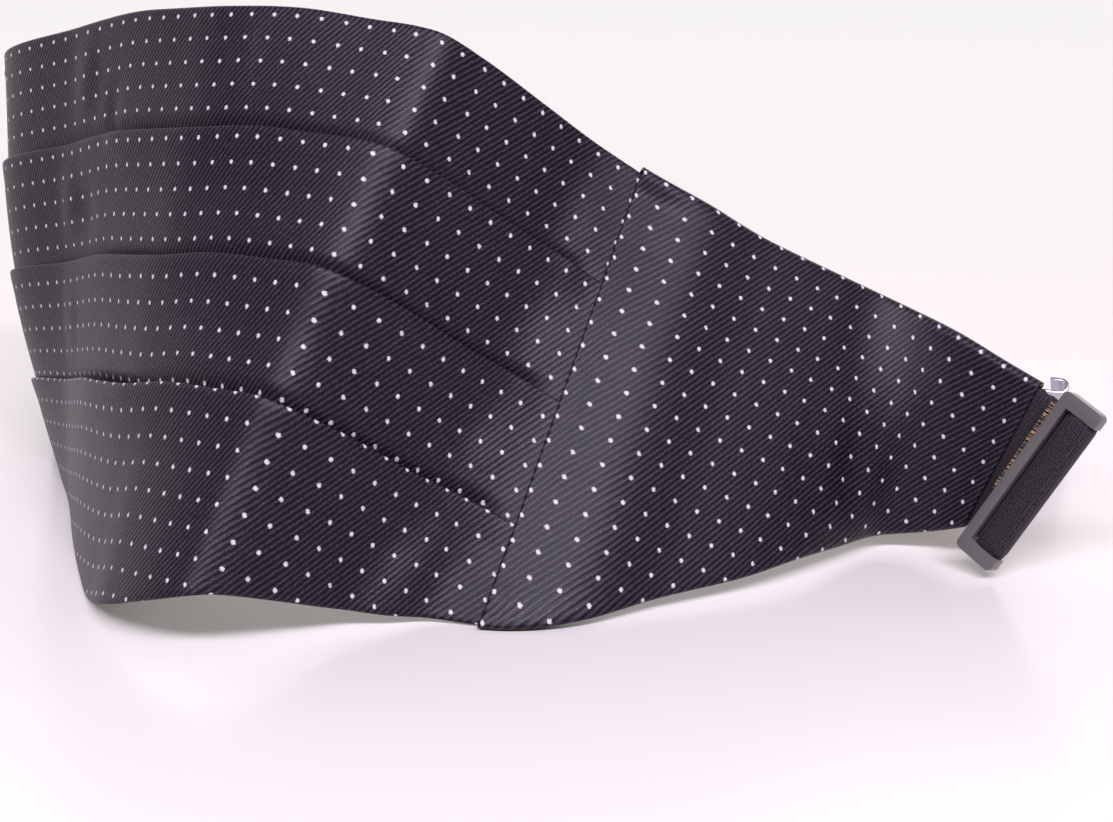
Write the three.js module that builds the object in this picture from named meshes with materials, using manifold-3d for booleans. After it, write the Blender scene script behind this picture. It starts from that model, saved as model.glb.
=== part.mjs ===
// Cummerbund, standing on its lower edge, bent in a U. Millimetres, +Z up,
// +X from the bend to the buckle, +Y from the near half to the hidden half.
import * as THREE from "three";
import Module from "manifold-3d";

const wasm = await Module();
wasm.setup();
const { Manifold, CrossSection } = wasm;

// ---------------------------------------------------------------- sizes

// the standing shape
const bendLength = 237;      // bend to panel end, along X
const bendDepth = 216;       // front corner to the back of the hidden half, along Y
const standHeight = 113;     // top edge above the table at the middle of the front

// cloth
const pleatWidth = 26.5;     // seen width of one pleat, measured down from the top edge
const pleatCount = 3;        // fold lines
const pleatTuck = 5;         // how far a fold reaches up over the band above
const clothBase = 1.2;       // cloth and its backing
const foldThick = 1.0;       // a pleat's folded edge
const slit = 0.4;            // open gap behind a folded edge
const panelPly = 0.8;        // one ply of the side panel
const seamLap = 5;           // side panel over the ends of the pleats
const easeLength = 25;       // from the thick seam to the thin panel
const hemRound = 0.4;        // rounding of folded edges
const gap = 0.3;             // clearance between pieces
const seamEase = 0.5;        // clearance of the curved pleat ends inside the side panel

// straps
const strapWidth = 32;
const strapThick = 1.0;
const strapInset = 8;        // strap inside the panel's end

// buckle
const buckleWidth = 9.6;     // across the slot
const buckleThick = 3;
const innerBar = 2.2;        // bar next to the panel
const outerBar = 2.4;        // bar that the strap wraps
const endBar = 3.1;          // short bars at the slot's ends
const slotEase = 0.65;       // strap's edge to the slot's end
const buckleHeight = strapWidth + 2 * (endBar + slotEase);   // along the bars, 39.5
const barRecess = 1.3;       // the wrapped bar lies lower than the frame
const buckleCorner = 2;
const buckleReach = 9.1;     // panel end to the buckle's middle
const buckleRise = 2.6;      // buckle's middle plane in front of the strap
const strapTail = 7;         // folded-back end of the strap behind the buckle

// hook clasp of the hidden strap
const claspWidth = 27;
const claspLength = 11;
const claspPlate = 1.2;
const claspHook = 4.2;       // depth of the turned hook
const claspGrip = 6;         // leaves over the strap's end
const claspBend = 2;         // radius where the plate turns into the hook
const hookTip = 6;           // turned tip, from the clasp's end back

// the cloth's own shape: each row is one straight line of the weave from the
// lower to the upper edge, as shares of bendLength, bendDepth, standHeight
//   lowX   lowY   lowZ   topX   topY   topZ
const stations = [
  [0.177, 0.940, 0.058, 0.160, 0.986, 0.381],   // left panel's end
  [0.114, 0.870, 0.027, 0.084, 0.938, 0.500],
  [0.068, 0.764, 0.009, 0.027, 0.861, 0.619],
  [0.059, 0.664, 0.000, 0.006, 0.782, 0.726],
  [0.067, 0.596, 0.000, 0.001, 0.715, 0.806],   // left seam
  [0.084, 0.500, 0.000, 0.017, 0.625, 0.866],
  [0.118, 0.375, 0.000, 0.116, 0.509, 0.928],
  [0.152, 0.259, 0.000, 0.196, 0.424, 0.971],
  [0.175, 0.190, 0.000, 0.250, 0.373, 0.984],
  [0.198, 0.127, 0.004, 0.304, 0.329, 0.993],   // middle of the front
  [0.226, 0.069, 0.040, 0.367, 0.301, 0.994],
  [0.272, 0.019, 0.088, 0.430, 0.275, 0.979],
  [0.308, 0.000, 0.111, 0.470, 0.259, 0.969],
  [0.333, 0.007, 0.109, 0.493, 0.253, 0.955],   // soft ridge
  [0.373, 0.032, 0.080, 0.528, 0.269, 0.908],
  [0.426, 0.067, 0.035, 0.576, 0.296, 0.830],
  [0.481, 0.086, 0.009, 0.624, 0.324, 0.752],
  [0.549, 0.079, 0.000, 0.675, 0.324, 0.686],   // right seam
  [0.608, 0.086, 0.009, 0.724, 0.322, 0.637],
  [0.679, 0.123, 0.022, 0.784, 0.329, 0.573],
  [0.749, 0.162, 0.030, 0.843, 0.339, 0.514],
  [0.795, 0.197, 0.037, 0.880, 0.345, 0.477],   // crease
  [0.841, 0.243, 0.031, 0.911, 0.326, 0.449],
  [0.880, 0.280, 0.027, 0.942, 0.294, 0.420],
  [0.920, 0.275, 0.040, 0.975, 0.262, 0.383],
  [0.948, 0.254, 0.066, 1.000, 0.238, 0.358],   // right panel's end
];
const leftSeam = 4;
const rightSeam = 17;
const leftEnd = 0;
const rightEnd = stations.length - 1;

// the hidden strap from the left panel's end round to the notch, same shares;
// its upper edge is found from the strap's width
//   lowX   lowY   leanX  leanY   (lean: upper edge beside the lower one, in strap widths)
const hiddenStrap = [
  [0.262, 0.984, -0.05, 0.19],
  [0.397, 1.000, -0.03, 0.13],
  [0.586, 0.954, 0.00, 0.06],
  [0.776, 0.861, 0.00, -0.06],
  [0.924, 0.750, -0.05, -0.30],
  [0.990, 0.705, -0.12, -0.48],
  [1.077, 0.659, -0.30, -0.65],
];

// ---------------------------------------------------------------- helpers

const vec = (x, y, z) => new THREE.Vector3(x, y, z);
const place = (x, y, z) => vec(x * bendLength, y * bendDepth, z * standHeight);
const lowLine = new THREE.CatmullRomCurve3(stations.map((r) => place(r[0], r[1], r[2])), false, "centripetal");
const topLine = new THREE.CatmullRomCurve3(stations.map((r) => place(r[3], r[4], r[5])), false, "centripetal");

const share = (i) => Math.min(Math.max(i / rightEnd, 0), 1);
const low = (i) => lowLine.getPoint(share(i));
const top = (i) => topLine.getPoint(share(i));
const clothHeight = (i) => low(i).distanceTo(top(i));
const onCloth = (i, v) => low(i).lerp(top(i), v);

// point at station i, height share v, lifted u along the outward side; the
// lower edge is level through the cloth, so that it stands flat
function lifted(i, v, u) {
  const h = 0.05;
  const a = Math.max(i - h, 0);
  const b = Math.min(i + h, rightEnd);
  const along = onCloth(b, v).sub(onCloth(a, v));
  const up = top(i).sub(low(i));
  const point = onCloth(i, v).addScaledVector(along.cross(up).normalize(), u);
  return v === 0 ? point.addScaledVector(up, (low(i).z - point.z) / up.z) : point;
}

// the station a length away from station i
function stationAt(i, length) {
  const step = 0.05 * Math.sign(length);
  let left = Math.abs(length);
  let here = onCloth(i, 0.5);
  for (;;) {
    const next = onCloth(i + step, 0.5);
    const d = next.distanceTo(here);
    if (d >= left || d === 0) return i + (d === 0 ? 0 : step * left / d);
    left -= d;
    i += step;
    here = next;
  }
}

// triangles that fill a flat outline, turning as the outline does
function fill(flat) {
  const n = flat.length;
  const outline = flat.map((p) => new THREE.Vector2(p[0], p[1]));
  if (!THREE.ShapeUtils.isClockWise(outline)) return THREE.ShapeUtils.triangulateShape(outline, []);
  return THREE.ShapeUtils.triangulateShape(outline.reverse(), []).map(([a, b, c]) => [n - 1 - c, n - 1 - b, n - 1 - a]);
}

// closed body through loops of points; each cell of a loop's cap is a fan
// round its first point, turning as the loop does
function loft(loops, cells) {
  const n = loops[0].length;
  const positions = loops.flat().flatMap((p) => [p.x, p.y, p.z]);
  const faces = [];
  for (let k = 0; k + 1 < loops.length; k++) {
    for (let j = 0; j < n; j++) {
      const a = k * n + j;
      const b = k * n + ((j + 1) % n);
      faces.push([a, b, b + n], [a, b + n, a + n]);
    }
  }
  const lastLoop = (loops.length - 1) * n;
  for (const cell of cells) {
    for (let k = 1; k + 1 < cell.length; k++) {
      const [p, q, r] = [cell[0], cell[k], cell[k + 1]];
      faces.push([p, r, q], [lastLoop + p, lastLoop + q, lastLoop + r]);
    }
  }
  return closed(positions, faces);
}

// a geometry whose faces look outward
function closed(positions, faces) {
  const p = (i) => vec(positions[3 * i], positions[3 * i + 1], positions[3 * i + 2]);
  let volume = 0;
  for (const [a, b, c] of faces) volume += p(a).dot(p(b).cross(p(c)));
  const geometry = new THREE.BufferGeometry();
  geometry.setAttribute("position", new THREE.Float32BufferAttribute(positions, 3));
  geometry.setIndex(faces.flatMap(([a, b, c]) => (volume > 0 ? [a, b, c] : [a, c, b])));
  geometry.computeVertexNormals();
  return geometry;
}

// band of one thickness through [lower point, upper point] pairs
function ribbon(pairs, thick) {
  const mids = pairs.map(([a, b]) => a.clone().add(b).multiplyScalar(0.5));
  const loops = pairs.map(([a, b], k) => {
    const before = mids[Math.max(k - 1, 0)];
    const after = mids[Math.min(k + 1, mids.length - 1)];
    const side = after.clone().sub(before).cross(b.clone().sub(a)).normalize().multiplyScalar(thick / 2);
    return [a.clone().add(side), b.clone().add(side), b.clone().sub(side), a.clone().sub(side)];
  });
  return loft(loops, [[0, 1, 2, 3]]);
}

const group = new THREE.Group();
function piece(name, geometry, colour, metalness = 0, roughness = 0.8) {
  const mesh = new THREE.Mesh(geometry, new THREE.MeshStandardMaterial({ color: colour, metalness, roughness }));
  mesh.name = name;
  group.add(mesh);
}

// stations between two places, at most half a row apart
function steps(from, to) {
  const list = [from];
  const way = Math.sign(to - from);
  for (let k = Math.round(from * 2) / 2; way * (to - k) > 0.02; k += way / 2) {
    if (way * (k - from) > 0.02) list.push(k);
  }
  return [...list, to];
}

// ---------------------------------------------------------------- pleated front

// depths across the cloth, from its inside face out
const pleatStack = clothBase + slit + foldThick;
const insideFace = -(clothBase + pleatStack) / 2;

function pleatedSection(i) {
  const height = clothHeight(i);
  const at = (down) => 1 - down / height;
  const base = insideFace + clothBase;
  const fold = insideFace + pleatStack;
  const outline = [[0, insideFace], [1 - hemRound / height, insideFace], [1, insideFace + hemRound], [1, base - hemRound], [1 - hemRound / height, base]];
  for (let k = 1; k <= pleatCount; k++) {
    const line = k * pleatWidth;
    outline.push(
      [at(line + pleatTuck), base], [at(line + pleatTuck), base + slit],
      [at(line + hemRound), base + slit], [at(line), base + slit + hemRound],
      [at(line), fold - hemRound], [at(line + hemRound), fold],
      [at(line + pleatTuck + 2 * foldThick), fold - slit],
    );
  }
  outline.push([0, base + slit / 2]);
  return outline;
}

// under the side panels the steps are those of the panels' slots
const frontSteps = [
  stationAt(leftSeam, gap),
  stationAt(leftSeam, seamLap / 2),
  ...steps(stationAt(leftSeam, seamLap), stationAt(rightSeam, -seamLap)),
  stationAt(rightSeam, -seamLap / 2),
  stationAt(rightSeam, -gap),
];
const middleSection = pleatedSection((leftSeam + rightSeam) / 2);
piece(
  "pleated_front",
  loft(
    frontSteps.map((i) => pleatedSection(i).map(([v, u]) => lifted(i, v, u))),
    fill(middleSection.map(([v, u]) => [v * standHeight, u])),
  ),
  0x231f2e,
);

// ---------------------------------------------------------------- side panels

const seamInside = insideFace - seamEase;
const seamOutside = insideFace + pleatStack + seamEase;
const strapRoom = strapThick + 2 * gap;
const panelThick = 2 * panelPly + strapRoom;
const strapDepth = -panelThick / 2;

// folded envelope from its seam to its end; both ends are open slots
function sidePanel(seam, end) {
  const way = Math.sign(end - seam);
  const lip = stationAt(seam, -way * seamLap);
  const lipSoft = stationAt(seam, -way * (seamLap - hemRound));
  const halfLap = stationAt(seam, -way * seamLap / 2);
  const eased = stationAt(seam, way * easeLength);
  const pocket = stationAt(end, -way * strapInset);
  const blend = (i) => Math.min(Math.max((i - seam) / (eased - seam), 0), 1);
  const outer = (i) => THREE.MathUtils.lerp(seamOutside + panelPly, 0, THREE.MathUtils.smoothstep(blend(i), 0, 1));
  const inner = (i) => THREE.MathUtils.lerp(seamInside - panelPly, -panelThick, THREE.MathUtils.smoothstep(blend(i), 0, 1));
  const body = steps(seam, pocket);
  const run = [...body, ...steps(pocket, end).slice(1)];
  const outline = [
    ...run.map((i) => [i, outer(i)]),
    [end, -panelPly], [pocket, -panelPly], [pocket, -panelPly - strapRoom], [end, -panelPly - strapRoom],
    ...run.map((i) => [i, inner(i)]).reverse(),
    [halfLap, seamInside - panelPly], [lip, seamInside - panelPly],
    [lip, seamInside], [halfLap, seamInside], [seam, seamInside], [seam, seamOutside], [halfLap, seamOutside], [lip, seamOutside],
    [lip, seamOutside + hemRound], [lipSoft, seamOutside + panelPly], [halfLap, seamOutside + panelPly],
  ];
  // its lower and upper edge are filled row by row
  const n = run.length;
  const m = body.length - 1;
  const slot = n;
  const within = (k) => 2 * n + 3 - k;
  const lap = 2 * n + 4;
  const cells = [
    [1, within(1), within(0), lap + 4, lap + 5, 0],
    [within(0), lap, lap + 3, lap + 4], [lap, lap + 1, lap + 2, lap + 3],
    [0, lap + 5, lap + 6, lap + 10], [lap + 6, lap + 7, lap + 8, lap + 9, lap + 10],
    [within(m - 1), m - 1, m, slot + 1, slot + 2, within(m)],
  ];
  for (let k = 1; k < m - 1; k++) cells.push([k, k + 1, within(k + 1), within(k)]);
  const ply = run.slice(m).map((_, k) => m + k);
  cells.push([slot + 1, ...ply, slot], [slot + 2, slot + 3, ...ply.map(within).reverse()]);
  const levels = [0, 0.1, 0.2, 0.3, 0.4, 0.5, 0.6, 0.7, 0.8, 0.9, 1];
  return loft(levels.map((v) => outline.map(([i, u]) => lifted(i, v, u))), cells);
}
piece("right_side_panel", sidePanel(rightSeam, rightEnd), 0x2a2536);
piece("left_side_panel", sidePanel(leftSeam, leftEnd), 0x2a2536);

// ---------------------------------------------------------------- buckle and its strap

// strap across the panel's pocket at station i
function inPocket(i) {
  const reach = strapWidth / clothHeight(i) / 2;
  return [lifted(i, 0.5 - reach, strapDepth), lifted(i, 0.5 + reach, strapDepth)];
}

// the buckle's own axes: across the slot, along the bars, outward
const barWay = vec(0.471, -0.095, 0.877).normalize();
const acrossWay = vec(0.575, -0.721, -0.387).addScaledVector(barWay, -vec(0.575, -0.721, -0.387).dot(barWay)).normalize();
const outWay = acrossWay.clone().cross(barWay);
const endMiddle = lifted(rightEnd, 0.5, strapDepth);
const buckleMiddle = endMiddle.clone().addScaledVector(acrossWay, buckleReach).addScaledVector(outWay, buckleRise);
const atBuckle = (across, along, out) =>
  buckleMiddle.clone().addScaledVector(acrossWay, across).addScaledVector(barWay, along).addScaledVector(outWay, out);

const slotFrom = -buckleWidth / 2 + innerBar;
const barFrom = buckleWidth / 2 - outerBar;
const slotHalf = buckleHeight / 2 - endBar;

function roundedOutline(halfX, halfY, r) {
  const points = [];
  for (const [sx, sy, turn] of [[1, 1, 0], [-1, 1, 1], [-1, -1, 2], [1, -1, 3]]) {
    for (let k = 0; k <= 4; k++) {
      const a = (turn + k / 4) * Math.PI / 2;
      points.push([sx * (halfX - r) + r * Math.cos(a), sy * (halfY - r) + r * Math.sin(a)]);
    }
  }
  return points;
}
const frameOutline = roundedOutline(buckleWidth / 2, buckleHeight / 2, buckleCorner);
const slotOutline = roundedOutline((barFrom - slotFrom) / 2, slotHalf, buckleCorner / 3)
  .map(([x, y]) => [x + (barFrom + slotFrom) / 2, y]);
const barCut = strapWidth + 4 * gap;
const wrapRoom = strapThick + 2 * gap;
const frame = new CrossSection([frameOutline, slotOutline], "EvenOdd")
  .extrude(buckleThick)
  .translate([0, 0, -buckleThick / 2])
  .subtract(Manifold.cube([outerBar + 1 + gap, barCut, barRecess + 1], true)
    .translate([barFrom + (outerBar + 1 - gap) / 2, 0, buckleThick / 2 + (1 - barRecess) / 2]))
  .subtract(Manifold.cube([wrapRoom + 1, barCut, buckleThick + 1], true)
    .translate([buckleWidth / 2 + 0.5 - wrapRoom / 2, 0, 0]))
  .getMesh();
const framePositions = [];
for (let k = 0; k < frame.vertProperties.length; k += frame.numProp) {
  const p = atBuckle(frame.vertProperties[k], frame.vertProperties[k + 1], frame.vertProperties[k + 2]);
  framePositions.push(p.x, p.y, p.z);
}
const frameFaces = [];
for (let k = 0; k < frame.triVerts.length; k += 3) frameFaces.push([...frame.triVerts.slice(k, k + 3)]);
piece("buckle", closed(framePositions, frameFaces), 0x6f6872, 0, 0.4);

// strap: out of the pocket, behind the inner bar, up through the slot, over the
// outer bar and back behind it
const barBack = -buckleThick / 2;
const barTop = buckleThick / 2 - barRecess;
const barEdge = buckleWidth / 2 - wrapRoom;
const lay = strapThick / 2 + gap;
const wrap = [
  [slotFrom - innerBar, barBack - lay * 1.25],
  [slotFrom - innerBar / 2, barBack - lay],
  [slotFrom + lay * 0.8, barBack - lay * 0.6],
  [slotFrom + lay * 1.7, (barBack + barTop) / 2],
  [barFrom - lay * 0.4, barTop + lay * 0.6],
  [barFrom + lay * 0.6, barTop + lay],
  [barEdge, barTop + lay],
  [barEdge + lay * 0.7, barTop + lay * 0.7],
  [barEdge + lay, barTop],
  [barEdge + lay, barBack],
  [barEdge + lay * 0.7, barBack - lay * 0.7],
  [barEdge, barBack - lay],
  [barFrom - lay, barBack - lay * 1.6],
  [barEdge - strapTail, barBack - lay * 2.6 - strapThick],
];
const strapHalf = strapWidth / 2;
const endRow = inPocket(rightEnd);
const onward = onCloth(rightEnd, 0.5).sub(onCloth(rightEnd - 0.05, 0.5)).normalize().multiplyScalar(gap * 3);
piece(
  "right_strap",
  ribbon([
    inPocket(stationAt(rightEnd, -(strapInset - gap))),
    inPocket(stationAt(rightEnd, -strapInset / 2)),
    endRow.map((p) => p.clone().add(onward)),
    ...wrap.map(([across, out]) => [atBuckle(across, -strapHalf, out), atBuckle(across, strapHalf, out)]),
  ], strapThick),
  0x17151a,
);

// ---------------------------------------------------------------- hidden strap and clasp

const strapRows = hiddenStrap.map(([x, y, leanX, leanY]) => {
  const a = place(x, y, 0).add(vec(0, 0, Math.hypot(leanX, leanY) * strapThick / 2));
  const side = vec(leanX, leanY, Math.sqrt(1 - leanX * leanX - leanY * leanY)).multiplyScalar(strapWidth);
  return [a, a.clone().add(side)];
});
const pocketRows = [inPocket(stationAt(leftEnd, strapInset - gap)), inPocket(stationAt(leftEnd, strapInset / 2)), inPocket(leftEnd)];
const rowLine = (side) => new THREE.CatmullRomCurve3([pocketRows[2], ...strapRows].map((r) => r[side]), false, "centripetal");
const strapLow = rowLine(0);
const strapTop = rowLine(1);
const curveSteps = 3 * strapRows.length;
const freeRows = [];
for (let k = 1; k <= curveSteps; k++) {
  const lowPoint = strapLow.getPoint(k / curveSteps);
  lowPoint.z = Math.max(lowPoint.z, 0);    // it lies on the table
  freeRows.push([lowPoint, strapTop.getPoint(k / curveSteps)]);
}

// the strap's last stretch is straight, and the clasp sits on it
const [endLow, endTop] = freeRows[freeRows.length - 1];
const claspUp = endTop.clone().sub(endLow).normalize();
const claspAlong = vec(-claspUp.y, claspUp.x, 0).normalize();
const claspOut = claspAlong.clone().cross(claspUp);
const straight = claspGrip + 2 * strapThick;
freeRows.push([endLow, endTop].map((p) => p.clone().addScaledVector(claspAlong, straight)));
const endMid = endLow.clone().add(endTop).multiplyScalar(0.5).addScaledVector(claspAlong, straight);
piece("left_strap", ribbon([...pocketRows, ...freeRows], strapThick), 0x17151a);

// clasp: two leaves grip the strap's end, then a plate with a turned hook
const leafIn = strapThick / 2 + gap;
const leafOut = leafIn + claspPlate * 0.6;
const half = claspPlate / 2;
const claspOutline = [
  [-claspGrip, leafOut], [gap + half, leafOut], [gap + 2 * half, half], [claspLength - claspBend, half],
  [claspLength - claspBend * 0.3, -half], [claspLength, -claspHook / 2],
  [claspLength - claspBend * 0.3, -claspHook + half], [claspLength - claspBend, -claspHook],
  [claspLength - hookTip, -claspHook], [claspLength - hookTip, -claspHook + claspPlate],
  [claspLength - claspBend * 1.3, -claspHook + claspPlate],
  [claspLength - claspPlate, -claspHook / 2], [claspLength - claspBend * 1.3, -half],
  [gap + 2 * half, -half], [gap + half, -leafOut], [-claspGrip, -leafOut], [-claspGrip, -leafIn], [gap, -leafIn], [gap, leafIn], [-claspGrip, leafIn],
];
piece(
  "hook_clasp",
  loft(
    [-claspWidth / 2, claspWidth / 2].map((h) => claspOutline.map(([a, u]) =>
      endMid.clone().addScaledVector(claspAlong, a).addScaledVector(claspOut, u).addScaledVector(claspUp, h))),
    fill(claspOutline),
  ),
  0x8d8a94, 0.9, 0.3,
);

// ---------------------------------------------------------------- frame

// origin under the middle of the whole thing, on the table
const box = new THREE.Box3().setFromObject(group);
const origin = vec((box.min.x + box.max.x) / 2, (box.min.y + box.max.y) / 2, box.min.z);
for (const mesh of group.children) mesh.geometry.translate(-origin.x, -origin.y, -origin.z);

export default group;
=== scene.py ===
# Cummerbund of dotted twill, standing on its lower edge, bent in a U.
# Shapes are worked out in millimetres and put into their meshes in metres.
import math

import bpy
from mathutils import Matrix, Vector


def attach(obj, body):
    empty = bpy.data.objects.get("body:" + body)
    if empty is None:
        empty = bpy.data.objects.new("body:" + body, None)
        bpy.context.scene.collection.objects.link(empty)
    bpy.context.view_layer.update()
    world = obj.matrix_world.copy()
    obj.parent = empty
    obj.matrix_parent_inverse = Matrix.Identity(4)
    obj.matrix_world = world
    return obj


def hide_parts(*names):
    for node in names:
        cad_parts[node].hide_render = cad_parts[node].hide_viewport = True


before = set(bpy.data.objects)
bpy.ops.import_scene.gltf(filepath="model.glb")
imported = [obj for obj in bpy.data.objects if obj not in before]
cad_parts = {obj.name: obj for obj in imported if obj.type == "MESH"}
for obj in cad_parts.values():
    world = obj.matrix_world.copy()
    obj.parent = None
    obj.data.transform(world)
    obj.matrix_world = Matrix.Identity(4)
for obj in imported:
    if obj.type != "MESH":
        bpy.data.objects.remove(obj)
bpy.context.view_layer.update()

MM = 0.001


def vec(x, y, z):
    return Vector((x, y, z))


# ------------------------------------------------------------------ camera

camera_data = bpy.data.cameras.new("camera")
camera_data.lens = 51.752
camera_data.sensor_width = 36
camera_data.sensor_fit = "HORIZONTAL"
camera_data.clip_start = 0.01
camera_data.clip_end = 50
camera = bpy.data.objects.new("camera", camera_data)
bpy.context.scene.collection.objects.link(camera)
camera.matrix_world = Matrix((
    (0.99991, -0.01378, 0.0, 0.003683),
    (0.00387, 0.28069, -0.95979, -0.372892),
    (0.01323, 0.95970, 0.28072, 0.124860),
    (0.0, 0.0, 0.0, 1.0),
))
bpy.context.scene.camera = camera

# ------------------------------------------------------------------ sizes

BEND_LENGTH = 237
BEND_DEPTH = 216
STAND_HEIGHT = 113
MIDDLE = vec(135.3174, 110.8924, -0.0881)     # the CAD's origin in the shape table's corner

PLEAT_WIDTH = 26.5
PLEATS = 3
PLEAT_TUCK = 5
INSIDE = -1.9           # depths through the cloth, out from its middle
BASE = -0.7
FACE = 0.3
FOLD = 0.7
SLIT = 0.4
HEM = 0.4
LOWER_ROUND = 0.8       # roundness of the front's lower edge
PLEAT_STEP = 1.2        # between two sections of the front
PLEAT_REACH = 9         # along the cloth, where the pleats close before the seam
PLY = 0.8
SEAM_LAP = 5
LEFT_LAP = 2.5
EASE = 25               # along the cloth, from the lap to the plain sleeve
HUG_LENGTH = 12         # along the cloth, where the lap follows the pleats under it
HUG_OVER = 1.2
HUG_SPAN = (-9, -6, -3, 0, 3, 6, 9)     # the pleats' steps are evened out over these
SEAM_INSIDE = -2.4
SEAM_OUTSIDE = 1.2
PANEL_THICK = 3.2
PANEL_CLOTH = 0.7
PANEL_STEP = 1.1        # between two sections of a panel
PANEL_ROUND = 1.7       # roundness of a panel's long edges
EDGE_ROLL = (0.28, 0.1)     # how far the sections at a panel's ends turn in
FACE_ROWS = 68          # points down a panel's face, and round one long edge
TURN_ROWS = 7

STRAP_WIDTH = 32
STRAP_THICK = 1.0
STRAP_INSET = 8
BUCKLE_WIDTH = 9.6
BUCKLE_HEIGHT = 39.5
BUCKLE_THICK = 3
INNER_BAR = 2.2
OUTER_BAR = 2.4
END_BAR = 3.1
BAR_RECESS = 1.3
BUCKLE_CORNER = 1.3
BUCKLE_REACH = 9.1
BUCKLE_RISE = 2.6
STRAP_TAIL = 7
GAP = 0.3
CLASP_WIDTH = 27
CLASP_LENGTH = 11
CLASP_PLATE = 1.2
CLASP_LEAF = CLASP_PLATE * 0.6
CLASP_GRIP = 6

STITCHES = 64
STITCH_PITCH = 0.34
STITCH_STEPS = 6        # along one stitch
STITCH_SIDES = 6
THREAD_RADIUS = 0.15

DOT_PITCH = 5.2
PANEL_PITCH = 5.13
PANEL_COLUMN = 57.8     # a column of dots on the panels, along from the ridge
RIB_PITCH = 1.04
RIB_SLOPE = math.radians(57)
DOT_WIDE = 0.43
DOT_HIGH = 0.46
TURN = 2 * math.pi

# each row is one straight thread of the cloth: how far along the cloth from
# the soft ridge, then its foot and its top as shares of the three sizes
THREADS = (
    (-250.0, 0.177, 0.940, 0.058, 0.160, 0.986, 0.381),
    (-225.0, 0.114, 0.870, 0.027, 0.084, 0.938, 0.500),
    (-200.0, 0.068, 0.764, 0.009, 0.027, 0.861, 0.619),
    (-175.0, 0.059, 0.664, 0.000, 0.006, 0.782, 0.726),
    (-157.0, 0.067, 0.596, 0.000, 0.001, 0.715, 0.806),
    (-141.0, 0.084, 0.500, 0.000, 0.017, 0.625, 0.866),
    (-106.0, 0.118, 0.375, 0.000, 0.116, 0.509, 0.928),
    (-79.0, 0.152, 0.259, 0.000, 0.196, 0.424, 0.971),
    (-62.0, 0.175, 0.190, 0.000, 0.250, 0.373, 0.984),
    (-47.0, 0.198, 0.127, 0.004, 0.304, 0.329, 0.993),
    (-31.0, 0.226, 0.069, 0.040, 0.367, 0.301, 0.994),
    (-15.6, 0.272, 0.019, 0.088, 0.430, 0.275, 0.979),
    (-5.0, 0.308, 0.000, 0.111, 0.470, 0.259, 0.969),
    (0.0, 0.333, 0.007, 0.109, 0.493, 0.253, 0.955),
    (10.4, 0.373, 0.032, 0.080, 0.528, 0.269, 0.908),
    (26.0, 0.426, 0.067, 0.035, 0.576, 0.296, 0.830),
    (41.6, 0.481, 0.086, 0.009, 0.624, 0.324, 0.752),
    (57.0, 0.549, 0.079, 0.000, 0.675, 0.324, 0.686),
    (67.6, 0.608, 0.086, 0.009, 0.724, 0.322, 0.637),
    (83.0, 0.679, 0.123, 0.022, 0.784, 0.329, 0.573),
    (98.8, 0.749, 0.162, 0.030, 0.843, 0.339, 0.514),
    (109.0, 0.795, 0.197, 0.037, 0.880, 0.345, 0.477),
    (119.0, 0.841, 0.243, 0.031, 0.911, 0.326, 0.449),
    (130.0, 0.880, 0.280, 0.027, 0.942, 0.294, 0.420),
    (140.0, 0.920, 0.275, 0.040, 0.975, 0.262, 0.383),
    (148.0, 0.948, 0.254, 0.066, 1.000, 0.238, 0.358),
)
LAST = len(THREADS) - 1
LEFT_END, LEFT_SEAM, RIGHT_SEAM, RIGHT_END = -250.0, -157.0, 57.0, 148.0

HIDDEN_STRAP = (
    (0.262, 0.984, -0.05, 0.19),
    (0.397, 1.000, -0.03, 0.13),
    (0.586, 0.954, 0.00, 0.06),
    (0.776, 0.861, 0.00, -0.06),
    (0.924, 0.750, -0.05, -0.30),
    (0.990, 0.705, -0.12, -0.48),
    (1.077, 0.659, -0.30, -0.65),
)

# soft creases of the cloth: along, down, half length, half width, height
# outward, lean of its line (millimetres along for each one down)
CREASES = (
    (-150, 58, 76, 52, 6.2, 0.0),
    (-99, 13, 15, 7, 0.7, 0.0),
    (-104, 40, 13, 7, 0.8, 0.0),
    (-93, 43, 11, 7, -0.6, 0.1),
    (-102, 66, 13, 7, 0.6, 0.0),
    (-84, 22, 12, 5, -0.4, 0.0),
    (-41, 12, 14, 5, 0.35, 0.0),
    (-2, 50, 75, 7, 0.45, -0.05),
    (45, 18, 17, 9, 0.7, -0.05),
    (46, 42, 14, 9, 0.5, -0.05),
    (43, 68, 14, 8, 0.7, -0.1),
    (36, 97, 22, 8, 0.9, -0.2),
    (25, 100, 20, 8, -0.5, -0.2),
    (116, 40, 14, 7, -0.9, 0.15),
    (126, 16, 20, 9, 0.6, 0.1),
    (107, 30, 22, 7, 0.4, 0.1),
)

# where a pleat's edge stands off the cloth behind it: pleat, along, half
# length, opening
OPENINGS = (
    (1, 34, 34, 0.6),
    (2, 20, 42, 1.1),
    (3, -60, 48, 1.0),
    (3, 26, 40, 0.4),
)

# ------------------------------------------------------------------ the cloth's shape


def blend(table, x):
    """The second column of a table at x, in straight steps."""
    if x <= table[0][0]:
        return table[0][1]
    for (xa, ya), (xb, yb) in zip(table, table[1:]):
        if x <= xb:
            return ya + (yb - ya) * (x - xa) / (xb - xa)
    return table[-1][1]


def ease(x):
    x = min(max(x, 0), 1)
    return x * x * (3 - 2 * x)


def hump(x):
    """1 at 0, falling smoothly to 0 at 1 and beyond."""
    return ease(1 - abs(x))


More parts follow.
